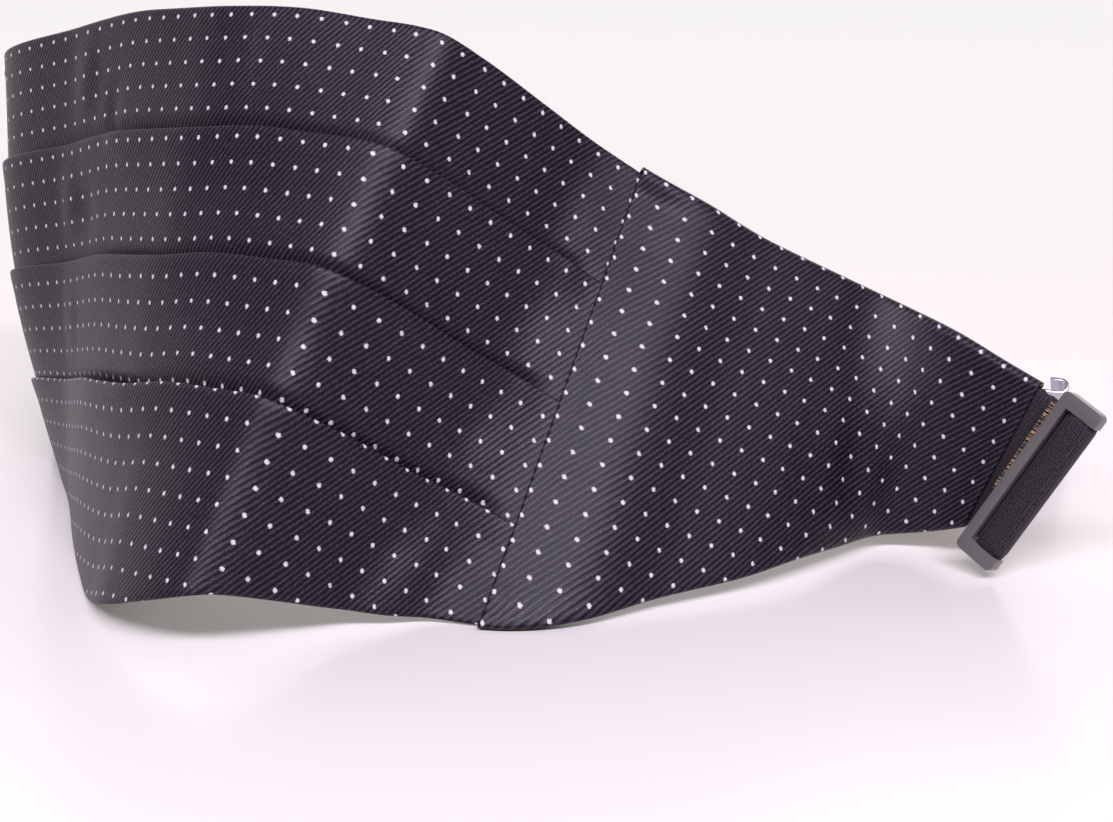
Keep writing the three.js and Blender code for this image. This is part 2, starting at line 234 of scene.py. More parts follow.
class SmoothLine:
    """A smooth line through points, drawn as the CAD draws it."""

    def __init__(self, points):
        self.points = points

    def at(self, k):
        points = self.points
        i = min(max(int(math.floor(k)), 0), len(points) - 2)
        w = min(max(k, 0), len(points) - 1) - i
        b, c = points[i], points[i + 1]
        a = points[i - 1] if i > 0 else 2 * b - c
        d = points[i + 2] if i + 2 < len(points) else 2 * c - b
        ab, bc, cd = (max((q - p).length ** 0.5, 1e-4) for p, q in ((a, b), (b, c), (c, d)))
        out = ((b - a) / ab - (c - a) / (ab + bc) + (c - b) / bc) * bc
        into = ((c - b) / bc - (d - b) / (bc + cd) + (d - c) / cd) * bc
        square = 3 * (c - b) - 2 * out - into
        cube = 2 * (b - c) + out + into
        return b + out * w + square * w * w + cube * w ** 3


def place(x, y, z):
    return vec(x * BEND_LENGTH, y * BEND_DEPTH, z * STAND_HEIGHT) - MIDDLE


LOWER_EDGE = SmoothLine([place(*t[1:4]) for t in THREADS])
UPPER_EDGE = SmoothLine([place(*t[4:7]) for t in THREADS])
ROW_OF = [(t[0], k) for k, t in enumerate(THREADS)]


class Thread:
    """One straight thread from the lower to the upper edge, s along from the ridge."""

    def __init__(self, s):
        k = blend(ROW_OF, s)
        before, after = max(k - 0.05, 0), min(k + 0.05, LAST)
        self.s = s
        self.foot = LOWER_EDGE.at(k)
        self.up = UPPER_EDGE.at(k) - self.foot
        self.height = self.up.length
        self.foot_way = LOWER_EDGE.at(after) - LOWER_EDGE.at(before)
        self.up_way = UPPER_EDGE.at(after) - UPPER_EDGE.at(before) - self.foot_way

    def point(self, down, out):
        """The point so far down from the top edge and out of the cloth's middle."""
        v = 1 - down / self.height
        side = (self.foot_way + v * self.up_way).cross(self.up).normalized()
        p = self.foot + v * self.up + out * side
        level = ease(1 - v / 0.08)      # the lower edge is level through the cloth
        return p + self.up * (level * (self.foot.z - p.z + v * self.up.z) / self.up.z)


def rumple(s, down):
    """How far the soft creases lift the cloth."""
    lift = 0
    for along, at, half_long, half_wide, height, lean in CREASES:
        dy = (down - at) / half_long
        if abs(dy) < 1:
            dx = (s - along - lean * (down - at)) / half_wide
            if abs(dx) < 1:
                lift += height * hump(dx) * hump(dy)
    return lift


def even(start, end, count):
    """Places from start to end in equal steps."""
    return [start + (end - start) * k / count for k in range(count + 1)]


def spread(start, end, step):
    """Even places from start to end, about a step apart."""
    return even(start, end, max(int(round(abs(end - start) / step)), 1))


# ------------------------------------------------------------------ meshes


def make(name, points, faces, uvs=None, slots=None):
    """A smooth mesh piece from points in millimetres; uvs and slots go by face."""
    mesh = bpy.data.meshes.new(name)
    mesh.from_pydata([tuple(p * MM) for p in points], [], faces)
    if uvs is not None:
        layer = mesh.uv_layers.new(name="weave")
        flat = [c for face in uvs for uv in face for c in uv]
        layer.data.foreach_set("uv", flat)
    if slots is not None:
        mesh.polygons.foreach_set("material_index", slots)
    mesh.validate()
    piece = bpy.data.objects.new(name, mesh)
    bpy.context.scene.collection.objects.link(piece)
    mesh.polygons.foreach_set("use_smooth", [True] * len(mesh.polygons))
    return piece


def only(piece):
    """Selects this piece alone and makes it the active one."""
    bpy.ops.object.select_all(action="DESELECT")
    piece.select_set(True)
    bpy.context.view_layer.objects.active = piece


def outward(piece):
    """Turns all faces of a closed piece outward."""
    only(piece)
    bpy.ops.object.mode_set(mode="EDIT")
    bpy.ops.mesh.select_all(action="SELECT")
    bpy.ops.mesh.normals_make_consistent(inside=False)
    bpy.ops.object.mode_set(mode="OBJECT")


def apply_modifier(piece, kind, **settings):
    """Adds a modifier and applies it at once."""
    only(piece)
    modifier = piece.modifiers.new(kind.lower(), kind)
    for key, value in settings.items():
        setattr(modifier, key, value)
    bpy.ops.object.modifier_apply(modifier=modifier.name)


# ------------------------------------------------------------------ pleated front


# each band of the front: where its first row of dots lies below the top edge,
# the rows' spacing there, and how far its columns are from the ridge's
BANDS = ((2.05, 4.95, 0.0), (28.8, 5.15, 1.87), (57.5, 5.22, 3.07), (84.9, 5.18, 4.58))


def band_uv(band, s, down):
    first, spacing, along = BANDS[band]
    return ((s - along) / DOT_PITCH, -(down - first) / spacing)


def before_seam(s):
    """1 along the pleats, falling to 0 where the right panel's lap begins."""
    return ease((RIGHT_SEAM - SEAM_LAP - s) / PLEAT_REACH)


def pleat_opening(pleat, s):
    """How far a pleat's edge stands off the cloth behind it."""
    held = before_seam(s) * ease((s + 112) / 40)
    wider = sum(size * hump((s - along) / half) for k, along, half, size in OPENINGS if k == pleat)
    return held * (0.85 + wider)


def front_face(down):
    """Depth of the closed pleats' outer face so far below the top edge."""
    band = min(int(down / PLEAT_WIDTH), PLEATS) if down > 0 else 0
    below = down - band * PLEAT_WIDTH
    if band == 0:
        return BASE
    if band == PLEATS:
        return BASE + SLIT / 2 + (FOLD - BASE - SLIT / 2) * (1 - ease(below / 34))
    return FOLD - (FOLD - BASE) * ease(below / 28)


def band_face(d, band, lift):
    """Depth of a band's outer face, which its pleat's edge lifts at the top."""
    if band == 0:
        return BASE
    below = d - band * PLEAT_WIDTH
    if band == PLEATS:
        rest = BASE + SLIT / 2 + (FACE - BASE - SLIT / 2) * (1 - ease((below - 5) / 30))
    else:
        rest = FACE - min(max((below - 7) / 24.5, 0), 1)
    return rest + (FOLD - FACE) * (1 - ease(below / 7)) + lift * (1 - ease(below / 15))


def front_section(thread, tucked):
    """The pleats cut across at one thread, as (down, out, band, lining).

    tucked is 1 where the front lies under a side panel.
    """
    s = thread.s
    low = thread.height - 1.1 * tucked - LOWER_ROUND
    high = 0.5 * tucked
    r = (BASE - INSIDE) / 2
    section = [(d, INSIDE, 0, True) for d in even(low, high + r, 30)]
    for k in range(1, 7):
        a = math.pi * k / 7
        section.append((high + r - r * math.sin(a), INSIDE + r - r * math.cos(a), 0, k < 3))
    start = high + r
    for band in range(PLEATS):
        line = (band + 1) * PLEAT_WIDTH
        lift = pleat_opening(band, s) if band else 0
        open_up = pleat_opening(band + 1, s)
        sink = min(0.75 + 0.35 * open_up, 1.1) * ease((s + 125) / 30) * before_seam(s)
        turn = line + PLEAT_TUCK
        for d in even(start, turn, 40):
            section.append((d, band_face(d, band, lift) - sink * ease((d - line + 3.6) / 4.2), band, False))
        section.append((turn + 0.25, BASE + SLIT / 2, band, False))
        inner = BASE + SLIT
        for d in spread(turn, line + HEM, 1.1):
            section.append((d, inner + open_up * (1 - ease((d - line) / 6.5)), band + 1, False))
        half = (FOLD - inner) / 2
        middle = inner + half + open_up
        for k in range(1, 6):
            a = math.pi * k / 6
            section.append((line + HEM - HEM * math.sin(a), middle - half * math.cos(a), band + 1, False))
        start = line + HEM
    lift = pleat_opening(PLEATS, s)
    section += [(d, band_face(d, PLEATS, lift), PLEATS, False) for d in even(start, low, 36)]
    half = (band_face(low, PLEATS, lift) - INSIDE) / 2
    for k in range(1, 5):
        a = math.pi * k / 5
        section.append((low + LOWER_ROUND * math.sin(a), INSIDE + half + half * math.cos(a), PLEATS, k > 3))
    return section


def pleated_front():
    places = spread(LEFT_SEAM + GAP, RIGHT_SEAM - GAP, PLEAT_STEP)
    points, faces, uvs, slots, marks = [], [], [], [], []
    for s in places:
        thread = Thread(s)
        under_right = ease((s - (RIGHT_SEAM - SEAM_LAP - 1)) / 3)
        under_left = ease((LEFT_SEAM + SEAM_LAP + 1 - s) / 3)
        section = front_section(thread, max(under_right, under_left))
        marks.append(section)
        points += [thread.point(down, out + rumple(s, down)) for down, out, _, _ in section]
    n = len(marks[0])
    if any(len(section) != n for section in marks):
        raise ValueError("the pleats' sections differ in their number of points")
    for c in range(len(places) - 1):
        for j in range(n):
            k = (j + 1) % n
            a, b = c * n + j, c * n + k
            faces.append((a, b, b + n, a + n))
            band = marks[c][k][2]
            corners = ((c, j), (c, k), (c + 1, k), (c + 1, j))
            uvs.append([band_uv(band, places[i], marks[i][q][0]) for i, q in corners])
            slots.append(1 if marks[c][j][3] or marks[c][k][3] else 0)
    for c, turned in ((0, False), (len(places) - 1, True)):
        loop = [c * n + j for j in range(n)]
        faces.append(tuple(loop if turned else reversed(loop)))
        uvs.append([(0.3, 0.3)] * n)
        slots.append(0)
    return make("pleated_front_cloth", points, faces, uvs, slots)


# ------------------------------------------------------------------ side panels

# down the panel's cloth, where the rows of dots lie
PANEL_ROWS = ((-3.0, -1.83), (0.9, -1.0), (30.3, 5.0), (56.3, 10.0), (93.2, 17.0), (125.0, 23.0))


def panel_section(thread, side, seam):
    """The folded sleeve cut across at one thread, as (down, out), round once."""
    into = min(max((thread.s - seam) * side / EASE, 0), 1)
    outer = (SEAM_OUTSIDE + PLY) * (1 - ease(into))
    inner = (SEAM_INSIDE - PLY) + (-PANEL_THICK - SEAM_INSIDE + PLY) * ease(into)
    half = (outer - inner) / 2
    middle = (outer + inner) / 2
    high = -0.8 * (1 - ease(into))
    low = thread.height
    r = min(half, PANEL_ROUND)
    section = []
    hug = 1 - ease((thread.s - seam) * side / HUG_LENGTH)
    for d in even(low - r, high + r, FACE_ROWS):
        lap = sum(front_face(d + k) for k in HUG_SPAN) / len(HUG_SPAN) + HUG_OVER
        edge = ease(min(d - high - r, low - r - d) / 4)
        section.append((d, outer + (min(lap, outer) - outer) * hug * edge))
    turns = [math.pi * k / (TURN_ROWS + 1) for k in range(1, TURN_ROWS + 1)]
    section += [(high + r - r * math.sin(a), middle + half * math.cos(a)) for a in turns]
    section += [(d, inner) for d in even(high + r, low - r, FACE_ROWS)]
    section += [(low - r + r * math.sin(a), middle - half * math.cos(a)) for a in turns]
    return section


def side_panel(name, seam, end, overlap):
    """A panel from its lap over the front to its end, as a sleeve of thin cloth."""
    side = 1 if end > seam else -1
    lip = seam - side * overlap
    places = [lip, lip + side * 0.12, lip + side * 0.4]
    places += spread(lip + side * 0.9, end - side * 0.5, PANEL_STEP)
    places += [end - side * 0.1, end]
    outer = range(FACE_ROWS + 1)
    inner = range(FACE_ROWS + 1 + TURN_ROWS, 2 * FACE_ROWS + 2 + TURN_ROWS)
    points, faces, uvs, marks = [], [], [], []
    for c, s in enumerate(places):
        thread = Thread(s)
        from_edge = min(c, len(places) - 1 - c)
        roll = EDGE_ROLL[from_edge] if from_edge < len(EDGE_ROLL) else 0
        section = []
        for j, (down, out) in enumerate(panel_section(thread, side, seam)):
            section.append((down, out - roll if j in outer else out + roll if j in inner else out))
        marks.append(section)
        points += [thread.point(down, out + rumple(s, down)) for down, out in section]
    n = len(marks[0])
    if any(len(section) != n for section in marks):
        raise ValueError("the panel's sections differ in their number of points")

    def uv(c, j):
        return ((places[c] - PANEL_COLUMN) / PANEL_PITCH, -blend(PANEL_ROWS, marks[c][j][0]))

    for c in range(len(places) - 1):
        for j in range(n):
            k = (j + 1) % n
            a, b = c * n + j, c * n + k
            faces.append((a, b, b + n, a + n))
            uvs.append([uv(c, j), uv(c, k), uv(c + 1, k), uv(c + 1, j)])
    piece = make(name, points, faces, uvs)
    outward(piece)
    apply_modifier(
        piece, "SOLIDIFY", thickness=PANEL_CLOTH * MM,
        offset=-1, use_even_offset=True, use_rim=True,
    )
    return piece


# ------------------------------------------------------------------ straps


def webbing(name, rows, steps, thick, frayed=0.0):
    """A woven strap through rows of its two edges' points; frayed roughens them."""
    first = SmoothLine([r[0] for r in rows])
    second = SmoothLine([r[1] for r in rows])
    count = (len(rows) - 1) * steps
    bands = [(first.at(k / steps), second.at(k / steps)) for k in range(count + 1)]
    middles = [(a + b) / 2 for a, b in bands]
    across = [k / 24 for k in range(25)]
    points, faces, uvs, marks = [], [], [], []
    length = 0
    half = thick / 2
    for c, (a, b) in enumerate(bands):
        if c:
            length += (middles[c] - middles[c - 1]).length
        way = middles[min(c + 1, count)] - middles[max(c - 1, 0)]
        width = b - a
        side = way.cross(width).normalized()
        ragged = frayed * (math.sin(length * 5.1) + math.sin(length * 2.9 + 1.3)) / width.length
        front_side = []
        for w in across:
            edge = min(w, 1 - w) * width.length
            front_side.append((w, half * (0.55 + 0.45 * min(edge / 0.8, 1) ** 0.5)))
        for w, h in front_side + [(w, -h) for w, h in reversed(front_side)]:
            x = w + ragged * (2 * w - 1)
            points.append(a + width * x + side * h)
            marks.append((length, x * STRAP_WIDTH))
    n = 2 * len(across)
    for c in range(count):
        for j in range(n):
            k = (j + 1) % n
            quad = (c * n + j, c * n + k, (c + 1) * n + k, (c + 1) * n + j)
            faces.append(quad)
            uvs.append([marks[q] for q in quad])
    for c in (0, count):
        for j in range(len(across) - 1):
            quad = (c * n + j, c * n + j + 1, c * n + n - 2 - j, c * n + n - 1 - j)
            faces.append(quad)
            uvs.append([marks[q] for q in quad])
    piece = make(name, points, faces, uvs)
    outward(piece)
    return piece


def in_pocket(s):
    """The strap's two edges inside a panel."""
    thread = Thread(s)
    middle = thread.height / 2
    depth = -PANEL_THICK / 2
    return thread.point(middle + STRAP_WIDTH / 2, depth), thread.point(middle - STRAP_WIDTH / 2, depth)


# the buckle's own directions: across its slot, along its bars, outward
ALONG_BARS = vec(0.471, -0.095, 0.877).normalized()
ACROSS = vec(0.575, -0.721, -0.387)
ACROSS = (ACROSS - ALONG_BARS * ACROSS.dot(ALONG_BARS)).normalized()
OUTWARD = ACROSS.cross(ALONG_BARS)
end_thread = Thread(RIGHT_END)
end_middle = end_thread.point(end_thread.height / 2, -PANEL_THICK / 2)
BUCKLE_MIDDLE = end_middle + ACROSS * BUCKLE_REACH + OUTWARD * BUCKLE_RISE
TO_BUCKLE = Matrix((
    (ACROSS.x, ALONG_BARS.x, OUTWARD.x, BUCKLE_MIDDLE.x * MM),
    (ACROSS.y, ALONG_BARS.y, OUTWARD.y, BUCKLE_MIDDLE.y * MM),
    (ACROSS.z, ALONG_BARS.z, OUTWARD.z, BUCKLE_MIDDLE.z * MM),
    (0, 0, 0, 1),
))


def at_buckle(across, along, out):
    return BUCKLE_MIDDLE + ACROSS * across + ALONG_BARS * along + OUTWARD * out


SLOT_FROM = -BUCKLE_WIDTH / 2 + INNER_BAR
BAR_FROM = BUCKLE_WIDTH / 2 - OUTER_BAR
WRAP_ROOM = STRAP_THICK + 2 * GAP
BAR_BACK = -BUCKLE_THICK / 2
BAR_TOP = BUCKLE_THICK / 2 - BAR_RECESS
BAR_EDGE = BUCKLE_WIDTH / 2 - WRAP_ROOM
LAY = STRAP_THICK / 2 + GAP

# the strap's course through the slot and round the outer bar: across, out
WRAP = (
    (SLOT_FROM - INNER_BAR, BAR_BACK - LAY - 0.2),
    (SLOT_FROM - INNER_BAR / 2, BAR_BACK - LAY),
    (SLOT_FROM + LAY * 0.35, BAR_BACK - LAY * 0.75),
    (SLOT_FROM + LAY * 0.95, BAR_BACK + LAY * 0.7),
    (SLOT_FROM + LAY * 1.5, BAR_TOP + LAY * 0.2),
    (SLOT_FROM + LAY * 2.8, BAR_TOP + LAY),
    (BAR_FROM + LAY * 0.6, BAR_TOP + LAY),
    (BAR_EDGE, BAR_TOP + LAY),
    (BAR_EDGE + LAY * 0.7, BAR_TOP + LAY * 0.7),
    (BAR_EDGE + LAY, BAR_TOP),
    (BAR_EDGE + LAY, BAR_BACK),
    (BAR_EDGE + LAY * 0.7, BAR_BACK - LAY * 0.7),
    (BAR_EDGE, BAR_BACK - LAY),
    (BAR_FROM - LAY, BAR_BACK - LAY * 1.6),
    (BAR_EDGE - STRAP_TAIL, BAR_BACK - LAY * 2.6 - STRAP_THICK),
)


def right_strap():
    """The short strap out of the panel, which is a little wider in the slot."""
    half = STRAP_WIDTH / 2
    rows = [in_pocket(RIGHT_END - inset) for inset in (STRAP_INSET - GAP, STRAP_INSET / 2, 0)]
    way = (rows[2][0] + rows[2][1] - rows[1][0] - rows[1][1]).normalized() * 0.9
    rows[2] = (rows[2][0] + way, rows[2][1] + way)
    for k, (x, z) in enumerate(WRAP):
        wide = half + 0.5 * ease((k - 1) / 2) * ease((len(WRAP) - 2 - k) / 2)
        rows.append((at_buckle(x, -wide, z), at_buckle(x, wide, z)))
    return webbing("right_strap_webbing", rows, 5, STRAP_THICK, frayed=0.16)


def left_strap():
    """The hidden strap, and the straight end that the clasp grips."""
    rows = []
    for x, y, lean_x, lean_y in HIDDEN_STRAP:
        a = place(x, y, 0) + vec(0, 0, math.hypot(lean_x, lean_y) * STRAP_THICK / 2)
        up = vec(lean_x, lean_y, math.sqrt(1 - lean_x ** 2 - lean_y ** 2))
        rows.append((a, a + STRAP_WIDTH * up))
    pocket = [in_pocket(LEFT_END + inset) for inset in (STRAP_INSET - GAP, STRAP_INSET / 2, 0)]
    low, high = (SmoothLine([pocket[2][e]] + [r[e] for r in rows]) for e in (0, 1))
    free = []
    for k in range(1, 3 * len(rows) + 1):
        a = low.at(k / 3)
        a.z = max(a.z, -MIDDLE.z)
        free.append((a, high.at(k / 3)))
    a, b = free[-1]
    up = (b - a).normalized()
    along = vec(-up.y, up.x, 0).normalized()
    straight = CLASP_GRIP + 2 * STRAP_THICK
    free.append((a + along * straight, b + along * straight))
    strap = webbing("hidden_strap_webbing", pocket + free, 4, STRAP_THICK)
    return strap, (a + b) / 2 + along * straight, along, up


# ------------------------------------------------------------------ buckle and clasp


def cutter(low, high):
    """A block from one corner to the other."""
    bpy.ops.mesh.primitive_cube_add(size=1, location=[(a + b) / 2 * MM for a, b in zip(low, high)])
    block = bpy.context.active_object
    block.scale = [(b - a) * MM for a, b in zip(low, high)]
    bpy.ops.object.transform_apply(location=True, rotation=False, scale=True)
    return block


def carve(piece, block):
    """Cuts the block out of the piece and deletes it."""
    apply_modifier(piece, "BOOLEAN", operation="DIFFERENCE", object=block, solver="EXACT")
    bpy.data.objects.remove(block, do_unlink=True)


def upright_edges(piece):
    """Selects the piece's edges along Z."""
    only(piece)
    bpy.ops.object.mode_set(mode="EDIT")
    bpy.ops.mesh.select_mode(type="EDGE")
    bpy.ops.mesh.select_all(action="DESELECT")
    bpy.ops.object.mode_set(mode="OBJECT")
    mesh = piece.data
    for edge in mesh.edges:
        a, b = (mesh.vertices[v].co for v in edge.vertices)
        edge.select = abs(a.x - b.x) + abs(a.y - b.y) < 1e-6
    bpy.ops.object.mode_set(mode="EDIT")


def buckle():
    """A flat slotted frame; the bar that the strap wraps lies lower."""
    bpy.ops.object.select_all(action="DESELECT")
    x, y, z = BUCKLE_WIDTH / 2, BUCKLE_HEIGHT / 2, BUCKLE_THICK / 2
    piece = cutter((-x, -y, -z), (x, y, z))
    piece.name = "buckle_frame"
    piece.data.name = "buckle_frame"
    upright_edges(piece)
    bpy.ops.mesh.bevel(offset=BUCKLE_CORNER * MM, segments=7, profile=0.5)
    bpy.ops.object.mode_set(mode="OBJECT")
    carve(piece, cutter((SLOT_FROM, -y + END_BAR, -z - 1), (BAR_FROM, y - END_BAR, z + 1)))
    cut = STRAP_WIDTH / 2 + 2 * GAP
    carve(piece, cutter((BAR_FROM - 0.01, -cut, z - BAR_RECESS), (x + 1, cut, z + 1)))
    carve(piece, cutter((x - WRAP_ROOM, -cut, -z - 1), (x + 1, cut, z + 1)))
    apply_modifier(
        piece, "BEVEL", width=0.38 * MM, segments=3,
        limit_method="ANGLE", angle_limit=math.radians(40), harden_normals=False,
    )
    only(piece)
    bpy.ops.object.shade_smooth_by_angle(angle=math.radians(35))
    piece.data.transform(TO_BUCKLE)
    return piece


def sheet_metal(start, end, depth, steps):
    """A plate as wide as the clasp, whose far edge is pulled on through each step."""
    bpy.ops.object.select_all(action="DESELECT")
    bpy.ops.mesh.primitive_plane_add(size=1, location=((start + end) / 2 * MM, 0, depth * MM))
    plate = bpy.context.active_object
    plate.scale = ((end - start) * MM, CLASP_WIDTH * MM, 1)
    bpy.ops.object.transform_apply(location=True, rotation=False, scale=True)
    bpy.ops.object.mode_set(mode="EDIT")
    bpy.ops.mesh.select_mode(type="EDGE")
    bpy.ops.mesh.select_all(action="DESELECT")
    bpy.ops.object.mode_set(mode="OBJECT")
    for edge in plate.data.edges:
        edge.select = all(plate.data.vertices[v].co.x > (end - 0.01) * MM for v in edge.vertices)
    bpy.ops.object.mode_set(mode="EDIT")
    for x, z in steps:
        bpy.ops.mesh.extrude_region_move(TRANSFORM_OT_translate={"value": (x * MM, 0, z * MM)})
    bpy.ops.object.mode_set(mode="OBJECT")
    apply_modifier(plate, "SOLIDIFY", thickness=CLASP_LEAF * MM, offset=0, use_even_offset=True)
    apply_modifier(
        plate, "BEVEL", width=0.18 * MM, segments=2,
        limit_method="ANGLE", angle_limit=math.radians(50),
    )
    return plate


def clasp(middle, along, up):
    """Plate with two leaves that grip the strap's end, and a turned hook."""
    out = along.cross(up)
    leaf = STRAP_THICK / 2 + GAP + CLASP_LEAF / 2
    hook = [(GAP + 0.9, -leaf), (CLASP_LENGTH - 3.4, 0)]
    hook += [(0.9, -0.25), (0.65, -0.7), (0.2, -0.9), (-0.2, -0.9)]
    hook += [(-0.65, -0.6), (-0.9, -0.2), (-2.6, 0)]
    upper = sheet_metal(-CLASP_GRIP, GAP, leaf, hook)
    lower = sheet_metal(-CLASP_GRIP, GAP, -leaf, [(GAP + 0.9, leaf - CLASP_PLATE * 0.45), (1.5, 0)])
    only(upper)
    lower.select_set(True)
    bpy.ops.object.join()
    upper.name = "hook_clasp_metal"
    upper.data.name = "hook_clasp_metal"
    outward(upper)
    only(upper)
    bpy.ops.object.shade_smooth_by_angle(angle=math.radians(40))
    upper.data.transform(Matrix((
        (along.x, up.x, out.x, middle.x * MM),
        (along.y, up.y, out.y, middle.y * MM),
        (along.z, up.z, out.z, middle.z * MM),
        (0, 0, 0, 1),
    )))
    return upper


def gold_stitches():
    """Overcast stitches of gold thread on the strap's cut edge, beside the buckle."""
    points, faces = [], []
    sides = STITCH_SIDES
    last = STITCH_STEPS
    for k in range(STITCHES):
        along = STRAP_WIDTH / 2 - 0.2 - k * STITCH_PITCH
        wave = math.sin(k * 2.4)
        fade = 1 - 0.55 * k / STITCHES
        path = []
        for j in range(last + 1):
            a = math.pi * j / last
            path.append(at_buckle(
                SLOT_FROM - INNER_BAR - 0.8 + 0.72 * math.cos(a) * fade,
                along + 0.25 * wave - 0.3 * j / last,
                BAR_BACK + 1.2 + (1.15 + 0.2 * wave) * math.sin(a) * fade,
            ))
        base = len(points)
        for j, p in enumerate(path):
            way = (path[min(j + 1, last)] - path[max(j - 1, 0)]).normalized()
            one = way.cross(ALONG_BARS).normalized()
            two = way.cross(one)
            for q in range(sides):
                a = TURN * q / sides
                points.append(p + THREAD_RADIUS * (one * math.cos(a) + two * math.sin(a)))
        for j in range(last):
            for q in range(sides):
                r = (q + 1) % sides
                a, b = base + j * sides + q, base + j * sides + r
                faces.append((a, b, b + sides, a + sides))
        faces.append(tuple(base + q for q in reversed(range(sides))))
        faces.append(tuple(base + last * sides + q for q in range(sides)))
    piece = make("gold_edge_stitches", points, faces)
    outward(piece)
    return piece


# ------------------------------------------------------------------ finishes


class Reading:
    """A number that changes over a surface, worked with as a plain number."""

    def __init__(self, finish, socket):
        self.finish = finish
        self.socket = socket

    def by(self, operation, *others):
        """The outcome of this operation with this number first."""
        return self.finish.maths(operation, self, *others)

    def __add__(self, other):
        return self.by("ADD", other)

    __radd__ = __add__

    def __mul__(self, other):
        return self.by("MULTIPLY", other)

    __rmul__ = __mul__

    def __sub__(self, other):
        return self.by("SUBTRACT", other)

    def __rsub__(self, other):
        return self.finish.maths("SUBTRACT", other, self)


class Finish:
    """One procedural material."""

    def __init__(self, name, **settings):
        self.material = bpy.data.materials.new(name)
        self.material.use_nodes = True
        self.tree = self.material.node_tree
        self.tree.nodes.clear()
        output = self.tree.nodes.new("ShaderNodeOutputMaterial")
        self.shader = self.tree.nodes.new("ShaderNodeBsdfPrincipled")
        self.tree.links.new(self.shader.outputs["BSDF"], output.inputs["Surface"])
        for key, value in settings.items():
            self.set(self.shader, key.replace("_", " ").title().replace("Ior", "IOR"), value)

    def set(self, node, socket, value):
        socket = node.inputs[socket]
        if isinstance(value, Reading):
            self.tree.links.new(value.socket, socket)
        else:
            socket.default_value = value

    def node(self, kind, settings=None, sockets=None):
        """A node of this kind with these settings and sockets; gives its outputs."""
        node = self.tree.nodes.new(kind)
        for key, value in (settings or {}).items():
            setattr(node, key, value)
        for key, value in (sockets or {}).items():
            self.set(node, key, value)
        return [Reading(self, socket) for socket in node.outputs]

    def maths(self, operation, *numbers):
        return self.node("ShaderNodeMath", {"operation": operation}, dict(enumerate(numbers)))[0]

    def feed(self, **sockets):
        """Leads what changes over the surface into the shader."""
        for key, value in sockets.items():
            self.set(self.shader, key.replace("_", " ").title(), value)

    def grain(self, scale, detail=2, at=None, roughness=0.5):
        sockets = {"Scale": scale, "Detail": detail, "Roughness": roughness}
        if at is not None:
            sockets["Vector"] = at
        return self.node("ShaderNodeTexNoise", {}, sockets)[0]

    def place(self):
        """Where the surface lies in the piece's own space."""
        return self.node("ShaderNodeTexCoord")[3]

    def weave(self):
        """The piece's own map, along and across its cloth."""
        uv = self.node("ShaderNodeUVMap", {"uv_map": "weave"})[0]
        x, y, _ = self.node("ShaderNodeSeparateXYZ", {}, {0: uv})
        return uv, x, y

    def vector(self, x, y):
        return self.node("ShaderNodeCombineXYZ", {}, {0: x, 1: y})[0]

    def between(self, value, low, high, to_low=0.0, to_high=1.0):
        """The value carried smoothly from one span to another."""
        sockets = {0: value, 1: low, 2: high, 3: to_low, 4: to_high}
        return self.node("ShaderNodeMapRange", {"interpolation_type": "SMOOTHSTEP"}, sockets)[0]

    def mixed(self, share, first, second, how="MIX"):
        settings = {"data_type": "RGBA", "blend_type": how}
        return self.node("ShaderNodeMix", settings, {0: share, 6: first, 7: second})[2]

    def bump(self, height, deep, strength):
        sockets = {"Strength": strength, "Distance": deep, "Height": height}
        return self.node("ShaderNodeBump", {}, sockets)[0]


def dotted_twill(name):
    """Near-black twill whose ribs rise to the right, with white pin dots."""
    cloth = Finish(name, specular_ior_level=0.25)
    uv, x, y = cloth.weave()
    rib = DOT_PITCH / RIB_PITCH
    across_rib = x * (math.sin(RIB_SLOPE) * rib) - y * (math.cos(RIB_SLOPE) * rib)
    along_rib = x * (math.cos(RIB_SLOPE) * DOT_PITCH) + y * (math.sin(RIB_SLOPE) * DOT_PITCH)
    drift = cloth.grain(6, 2, at=uv)
    wave = (across_rib + (drift - 0.5) * 0.35) * TURN
    ribs = wave.by("SINE") * 0.5 + 0.5
    threads = cloth.grain(1.0, 2, at=cloth.vector(along_rib * 1.7, across_rib * 4.2), roughness=0.6)
    fine = (along_rib * (TURN / 0.34) + across_rib * 3.0).by("SINE") * 0.5 + 0.5
    broken = cloth.between(threads, 0.35, 0.68)
    speck = cloth.grain(22, 2, at=uv, roughness=0.7)
    lines = cloth.between(ribs, 0.38, 0.92) * (0.3 + 0.7 * broken) * (0.45 + 0.55 * fine)
    lines = lines * cloth.between(speck, 0.3, 0.66, 0.35, 1.25)
    patch = cloth.grain(1.3, 2, at=uv)
    colour = cloth.mixed(lines, (0.0020, 0.0010, 0.0030, 1), (0.088, 0.060, 0.110, 1))
    tint = cloth.mixed(cloth.between(patch, 0.35, 0.7), (1, 0.97, 0.95, 1), (0.86, 0.95, 1, 1))
    colour = cloth.mixed(1.0, colour, tint, how="MULTIPLY")
    height = ribs * 0.6 + fine * 0.15 + broken * 0.15
    wobble = cloth.grain(14, 2, at=uv)
    u = (x + 0.5 + (wobble - 0.5) * 0.09).by("FRACT") - 0.5
    v = (y + 0.5 + (wobble - 0.5) * 0.09).by("FRACT") - 0.5
    u = (u + v * 0.12) * (DOT_PITCH / DOT_WIDE)
    v = v * (DOT_PITCH / DOT_HIGH)
    far = (u * u + v * v).by("SQRT")
    dot = cloth.between(far, 1.25, 0.62)
    colour = cloth.mixed(dot, colour, (0.58, 0.56, 0.59, 1))
    height = height + dot * 0.9
    cloth.feed(base_color=colour, roughness=0.42 - 0.08 * lines, normal=cloth.bump(height, 0.00013, 0.7))
    return cloth.material


